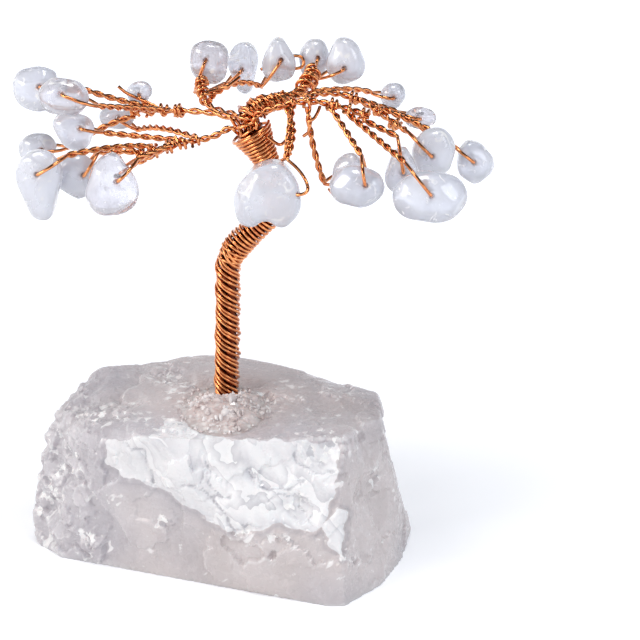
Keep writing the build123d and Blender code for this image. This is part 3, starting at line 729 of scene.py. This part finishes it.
# Each wrap's side and radius, how far apart its turns are, and its first turn, start and end
wraps = (
    (stem_side, lambda s: 1.34 + 0.12 * sin(s * 70), 1.5, 0, 0.05, 0.46),
    (stem_side, lambda s: 1.40 + 0.18 * sin(s * 45), 2.3, 0.5, 0.12, 0.50),
    (stem_side, lambda s: 2.5 - 2.6 * s + 0.2 * sin(s * 60), 1.0, 0.2, 0.0, 0.34),
    (Vector((0.3, 1, 0)), lambda s: 2.1 - 1.6 * s + 0.3 * sin(s * 33), 1.7, 0.7, 0.02, 0.30),
)
crown_line = branch_lines["crown"]
bundle = []
for third in range(3):
    middle = wound(crown_line, stem_side, 0.55, 9.0, third / 3)
    bundle += pair(middle, stem_side, lead=3.4, start=third * 0.17)
bundle += [wound(crown_line, *wrap) for wrap in wraps]
crown = wires(bundle, "crown_bundle")
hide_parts("crown_branch")


# Twigs: each is one wire. Its middle goes through a chip's hole, both legs are twisted together
# behind the chip, and the tails are wound twice round a branch.

# Each twig's branch, how far along it, its bends, its fork, and how far its legs stand off
twig_table = {
    "left_far": ("left_upper", 0.84, ((-20.3, 5.5, 80.2),), (-26.0, 5.3, 82.5), 3.12),
    "left_tip": ("left_upper", 0.72, (), (-20.2, -5.0, 81.8), 2.88),
    "left_back": ("left_upper", 0.60, (), (-13.4, 16.2, 74.6), 2.22),
    "left_middle": ("left_lower", 0.58, (), (-20.0, 1.1, 75.2), 2.88),
    "left_hidden": ("left_lower", 0.45, ((-11.1, 4.2, 76.0),), (-15.1, 11.0, 72.6), 2.28),
    "left_shoulder": ("left_upper", 0.96, ((-21.1, 7.1, 74.7),), (-27.0, 6.7, 70.6), 2.58),
    "left_drop": ("left_lower", 0.84, ((-16.5, -7.1, 76.0),), (-25.2, -10.9, 75.1), 3.30),
    "left_inner": ("left_lower", 0.96, (), (-20.5, -5.0, 73.8), 2.82),
    "left_front": ("left_lower", 0.70, (), (-13.5, -11.6, 74.7), 3.42),
    "back_left": ("upper_back", 0.95, (), (-5.2, 17.8, 77.5), 2.82),
    "back_middle": ("upper_back", 0.82, (), (0.0, 23.7, 77.0), 2.88),
    "back_right": ("upper_back", 0.68, ((2.4, 14.3, 81.5),), (6.4, 18.0, 78.2), 2.82),
    "crown_left": ("crown", 0.86, (), (14.3, 21.4, 76.9), 2.82),
    "crown_right": ("crown", 0.96, (), (16.5, 16.0, 80.3), 3.18),
    "right_back": ("crown", 0.75, ((23.8, 14.3, 79.4),), (25.9, 16.5, 77.5), 2.28),
    "right_small": ("right_upper", 0.50, (), (30.3, 11.5, 75.6), 2.22),
    "right_upper": ("right_upper", 0.95, (), (31.7, 0.1, 75.7), 3.12),
    "right_tip": ("right_upper", 0.75, ((36.0, 5.0, 74.7),), (39.0, 4.5, 72.4), 3.00),
    "right_front": ("right_middle", 0.84, (), (30.9, -11.9, 74.2), 3.42),
    "right_lower": ("right_middle", 0.70, (), (23.7, -11.5, 75.3), 3.12),
    "right_inner": ("right_middle", 0.96, (), (29.8, -5.5, 76.7), 2.70),
    "right_hidden": ("right_middle", 0.52, ((15.0, -4.2, 75.2),), (17.5, -4.2, 67.9), 2.58),
    "heart": ("right_middle", 0.40, ((11.6, -5.5, 78.7),), (11.2, -10.2, 74.3), 0),
}
# The heart's wire comes down past its right edge, goes through to its back and up again
heart_loop = (
    (11.4, -10.5, 74.2), (12.9, -11.2, 73.2), (14.5, -12.3, 71.3), (15.0, -14.6, 69.9),
    (12.9, -14.9, 69.4), (10.6, -12.2, 69.2), (7.4, -9.0, 68.8), (6.6, -7.9, 69.6),
    (8.2, -8.2, 72.2), (10.9, -9.8, 74.1),
)


def loop_through(hole, drill, fork, stand):
    """The wire's middle: out of the fork, over the rim, through the hole and back behind."""
    out = fork - hole
    reach = out.length
    out.normalize()
    rim = reach - 0.54 * (stand - 0.6) - 0.3
    path = []
    for front in (1, -1):
        off = drill * front
        start = fork + off * wire_radius
        leg = hole + out * rim * 0.5 + off * stand
        spread = start - out * 0.3 * (reach - rim) + off * 0.35 * stand
        first = interpolate_bezier(start, spread, leg + out * rim * 0.45, leg, 10)
        turn_in = leg - out * rim * 0.48 + off * 0.1
        second = interpolate_bezier(leg, turn_in, hole + off * stand, hole, 12)
        half = first[:-1] + second
        path += half if front > 0 else half[::-1][1:]
    return path


def tails_on(line, share, heading, host_radius, lead):
    """Close turns round a branch, and where the twisted legs leave them."""
    middle = round(share * (len(line) - 1))
    low, high = max(0, middle - 3), min(len(line) - 1, middle + 3)
    ahead = (line[high] - line[low]).normalized()
    out = heading - line[middle]
    side = (out - ahead * out.dot(ahead)).normalized()
    half = ahead * 0.75
    run = stations([line[middle] - half, line[middle] + half], 0.06)
    on_host = host_radius + wire_radius
    turns = wound(run, side, lambda s: on_host + 0.12 * sin(4 * s + lead * 9), lead)
    stub = turns[-1] + (turns[-1] - turns[-2]).normalized() * 0.8 + side * 0.3
    return turns + [stub], line[middle] + side * on_host


joints = {joint["child"]: joint for joint in frame["joints"]}
dice = random.Random(12)
for name, (host, share, bends, fork, stand) in twig_table.items():
    joint = joints[name + "_chip"]
    hole = Vector(joint["pos_m"]) / MM
    drill = Vector(joint["axis"]).normalized()
    fork = Vector(fork)
    corners = [Vector(bend) for bend in bends] + [fork]
    host_radius = 1.1 if host == "crown" else 0.64
    lead = dice.uniform(0.72, 1.3)
    tails, start = tails_on(branch_lines[host], share, corners[0], host_radius, lead)
    run = smooth_line([start] + corners)[::-1]
    legs = pair(run, drill, lead=dice.uniform(3.5, 4.6))
    loop = smooth_line(heart_loop) if name == "heart" else loop_through(hole, drill, fork, stand)
    twig = wires([legs[0][::-1] + loop + legs[1], tails], name + "_wire")
    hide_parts(name + "_twig")


# Loose ends: what was left of the wires when the tree was made, curled or clipped short by hand.
# They are the same copper, and stay on the branches and the neck.

loose_lines = {
    "back_hook": ((6.4, 18.0, 81.4), (9.6, 19.6, 82.0), (10.8, 19.0, 81.5), (12.2, 18.5, 81.3),
                  (13.9, 18.5, 81.7), (14.0, 19.0, 83.1), (12.8, 19.5, 83.6), (11.6, 20.0, 83.2)),
    "back_leg": ((9.4, 19.6, 81.9), (9.9, 19.5, 82.6), (10.3, 19.0, 83.2)),
    "back_strand": ((-3.2, 10.4, 79.4), (0.4, 10.5, 80.3), (1.5, 12.5, 80.5), (2.8, 14.0, 81.2)),
    "left_tail": ((-11.1, 5.6, 78.3), (-13.1, 6.2, 79.2), (-14.3, 7.0, 79.4), (-15.3, 7.0, 79.9),
                  (-16.5, 6.5, 80.6), (-17.3, 6.3, 81.4), (-17.8, 6.5, 81.8)),
    "right_stub": ((31.4, 7.0, 75.6), (32.9, 7.0, 75.2), (34.1, 6.5, 74.3), (35.2, 6.0, 73.6)),
    "neck_loop": ((7.9, -2.4, 75.6), (9.5, -2.9, 74.4), (10.4, -2.8, 74.3), (10.9, -1.6, 74.6)),
    "front_loop": ((16.8, -1.2, 80.6), (16.1, -2.8, 78.9), (14.6, -2.6, 78.4), (15.1, -2.9, 77.2),
                   (14.8, -2.6, 76.3), (14.0, -2.0, 75.6)),
    "low_hook": ((18.3, -8.4, 68.4), (19.3, -9.5, 67.4), (20.0, -9.5, 66.6), (20.9, -9.5, 66.2),
                 (21.3, -9.5, 66.7)),
}
ends = [smooth_line(corners) for corners in loose_lines.values()]
spare_pairs = (
    ((-9.5, -4.6, 74.3), (-11.9, -5.6, 72.9), (-15.0, -6.6, 71.9)),
    ((11.2, -0.9, 80.2), (12.4, -4.6, 78.6), (12.2, -7.6, 76.6), (11.7, -9.4, 74.9)),
)
for corners in spare_pairs:
    ends += pair(smooth_line(corners), Vector((0, 1, 0)), lead=3.4)
wires(ends, "loose_wire_ends")


# Leaves: tumbled quartz chips, drilled and hung on their twigs. Each is worn round, with soft
# flats left from the way it broke. Most are milky, and a few are nearly clear.

def polished_quartz(name, thin, thick, clear_share, milky_share, haze):
    """Tumbled quartz: its colours where it is thin and thick, how clear it is, and its haze."""
    material, tree, shader, place = new_material(name)
    veils = {"Vector": place, "Scale": cells(6.667), "Detail": 4.0, "Roughness": 0.55}
    veils = add(tree, "TexNoise", veils)
    flaws = {"Vector": place, "Scale": cells(2.381), "Detail": 3.0, "Distortion": 1.5}
    flaw = add(tree, "MapRange", (add(tree, "TexNoise", flaws), 0.60, 0.70))
    milk = add(tree, "MapRange", (veils, 0.40, 0.60))
    body = add(tree, "Mix", (milk, linear(thin), linear(thick)), data_type="RGBA")
    clear = add(tree, "MapRange", (veils, 0.40, 0.60, clear_share, milky_share))
    unflawed = add(tree, "MapRange", (flaw, 0.0, 1.0, 1.0, 0.25))
    feed(shader, {
        "Base Color": add(tree, "Mix", (flaw, body, linear("FBFBFD")), data_type="RGBA"),
        "Transmission Weight": add(tree, "Math", (clear, unflawed), operation="MULTIPLY"),
        "Roughness": add(tree, "MapRange", (veils, 0.3, 0.7, haze, haze * 0.6)),
        "IOR": 1.544,
        "Coat Weight": 1.0,
        "Coat Roughness": 0.03,
        "Coat IOR": 1.544,
    })
    return material


# Milky quartz scatters light in its body under a wet-looking polish; clear quartz shows its veils
milky_quartz = polished_quartz(
    "tumbled_milky_quartz_polished", "EFF1FA", "E2E5F1",
    clear_share=0.42, milky_share=0.20, haze=0.34,
)
cloudy_quartz = polished_quartz(
    "tumbled_cloudy_quartz_polished", "EEF0F9", "DFE2EE",
    clear_share=0.60, milky_share=0.34, haze=0.22,
)
clear_quartz = polished_quartz(
    "tumbled_clear_quartz_polished", "E7E7F0", "D2D0D9",
    clear_share=0.80, milky_share=0.42, haze=0.10,
)
quartz_of = dict.fromkeys(("left_front", "left_tip", "right_small", "back_left"), clear_quartz)
quartz_of.update(dict.fromkeys(
    ("right_back", "left_back", "left_middle", "back_middle", "right_front", "right_lower",
     "left_far", "right_tip"), cloudy_quartz,
))

chip_skin, flat_count = 0.26, 7


def tumble(name, seed):
    """A chip worn from its drilled blank: crowned faces, soft flats and a smooth skin."""
    chip = finished(copy_of(name + "_chip"), name + "_quartz", milky_quartz)
    reskin(chip, chip_skin)
    chip.data.materials.clear()
    chip.data.materials.append(quartz_of.get(name, milky_quartz))
    points = places_of(chip.data)[0]
    middle = (points.min(0) + points.max(0)) / 2
    local = points - middle
    # Turned to the chip's own thickness, width and height, with its faces crowned
    axes = np.linalg.eigh(local.T @ local)[1]
    turned = local @ axes
    half = np.abs(turned).max(0)
    away = (turned[:, 1] / half[1]) ** 2 + (turned[:, 2] / half[2]) ** 2
    turned[:, 0] *= 1 - 0.26 * np.clip(away, 0, 1.2)
    dice = random.Random(seed)
    for _ in range(flat_count):
        way = np.array([dice.uniform(-1, 1) * s for s in (1.0, 0.75, 0.75)])
        way /= np.linalg.norm(way)
        reach = (turned @ way).max() * dice.uniform(0.86, 0.95)
        over = np.clip(turned @ way - reach, 0, None)
        turned -= 0.85 * over[:, None] * way
    move_to(chip.data, turned @ axes.T + middle)
    smoothed(chip.data, 6)
    chip.data.shade_smooth()
    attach(chip, name + "_chip")
    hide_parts(name + "_chip")


for seed, name in enumerate(twig_table):
    tumble(name, seed)


# Studio: a white table in a pale tent that is open above and brightest on its left, with a soft
# lamp on the left, one above and a weak one on the right. The table is white to the eye, and keeps
# the shadow.

def seen_rays(tree, *kinds):
    """1 for rays of the given kinds, and otherwise 0."""
    total = add(tree, "LightPath", out=kinds[0])
    rays = total.node
    for kind in kinds[1:]:
        total = add(tree, "Math", (total, rays.outputs[kind]), operation="MAXIMUM")
    return total


table_white, tree, shader, place = new_material("white_table_top")
# Matt white paint that glows to the eye, less so near the tree, where its shadow falls
from_tree = add(tree, "VectorMath", (place,), operation="LENGTH")
glow = (
    seen_rays(tree, "Is Camera Ray", "Is Glossy Ray", "Is Transmission Ray"),
    add(tree, "MapRange", (from_tree, 0.08, 0.36, 0.28, 0.80)),
)
feed(shader, {
    "Base Color": linear("F4F4F4"),
    "Roughness": 0.9,
    "Specular IOR Level": 0.0,
    "Emission Color": linear("E6EEFF"),
    "Emission Strength": add(tree, "Math", glow, operation="MULTIPLY"),
})
table_shape = bmesh.new()
bmesh.ops.create_grid(table_shape, x_segments=1, y_segments=1, size=2.0)
table = finished(table_shape, "table_top", table_white)

# The tent: white where it is looked at, dark above and bright on the left in polished pieces, and
# pale light on everything else
world = bpy.data.worlds.new("studio")
bpy.context.scene.world = world
world.use_nodes = True
tent = world.node_tree
heading = add(tent, "SeparateXYZ", (add(tent, "TexCoord", out="Generated"),))
height = heading.node.outputs["Z"]
lit_side = (
    add(tent, "MapRange", (heading, -0.6, -0.1, 1.0, 0.0)),
    add(tent, "MapRange", (height, 0.35, 0.7, 1.7, 0.0)),
)
lit_side = add(tent, "Math", lit_side, operation="MULTIPLY")
wall = (add(tent, "MapRange", (height, 0.10, 0.55, 1.0, 0.06)), lit_side)
wall = add(tent, "Math", wall, operation="MAXIMUM")
mirrored = seen_rays(tent, "Is Glossy Ray")
within = add(tent, "Math", (mirrored.node.outputs["Transmission Depth"], 1.0), operation="MINIMUM")
strength = add(tent, "Math", (0.52, mirrored), operation="SUBTRACT")
for light in (
    seen_rays(tent, "Is Camera Ray", "Is Transmission Ray"),
    add(tent, "Math", (mirrored, wall), operation="MULTIPLY"),
    add(tent, "Math", (within, 0.75), operation="MULTIPLY"),
):
    strength = add(tent, "Math", (strength, light), operation="MAXIMUM")
feed(tent.nodes["Background"], {"Color": (0.97, 0.985, 1.0, 1.0), "Strength": strength})


lamp_target = Vector((10, 0, 40)) * MM


def soft_lamp(name, place, width, height, power, tint):
    """A soft lamp that looks at the tree."""
    lamp = bpy.data.lights.new(name, "AREA")
    lamp.shape = "RECTANGLE"
    lamp.size = width
    lamp.size_y = height
    lamp.energy = power
    lamp.color = linear(tint)[:3]
    holder = bpy.data.objects.new(name, lamp)
    holder.location = place
    holder.rotation_mode = "QUATERNION"
    holder.rotation_quaternion = (lamp_target - Vector(place)).to_track_quat("-Z", "Y")
    bpy.context.scene.collection.objects.link(holder)


soft_lamp("key_lamp", (-0.55, -0.35, 0.40), 0.40, 0.20, 2.1, "FFF8F0")
soft_lamp("top_lamp", (0.05, -0.10, 0.80), 0.22, 0.22, 1.75, "FFFFFF")
soft_lamp("fill_lamp", (0.55, -0.50, 0.35), 0.30, 0.30, 0.85, "F2F6FF")

camera = bpy.data.cameras.new("view")
camera.lens = 144.6
camera.sensor_width = 36.0
camera.clip_start = 0.01
eye = bpy.data.objects.new("view", camera)
eye.location = (view_middle - view_ahead * view_distance) * MM
eye.rotation_mode = "QUATERNION"
eye.rotation_quaternion = Vector(view_ahead).to_track_quat("-Z", "Y")
bpy.context.scene.collection.objects.link(eye)
bpy.context.scene.camera = eye
bpy.context.scene.view_settings.view_transform = "Standard"
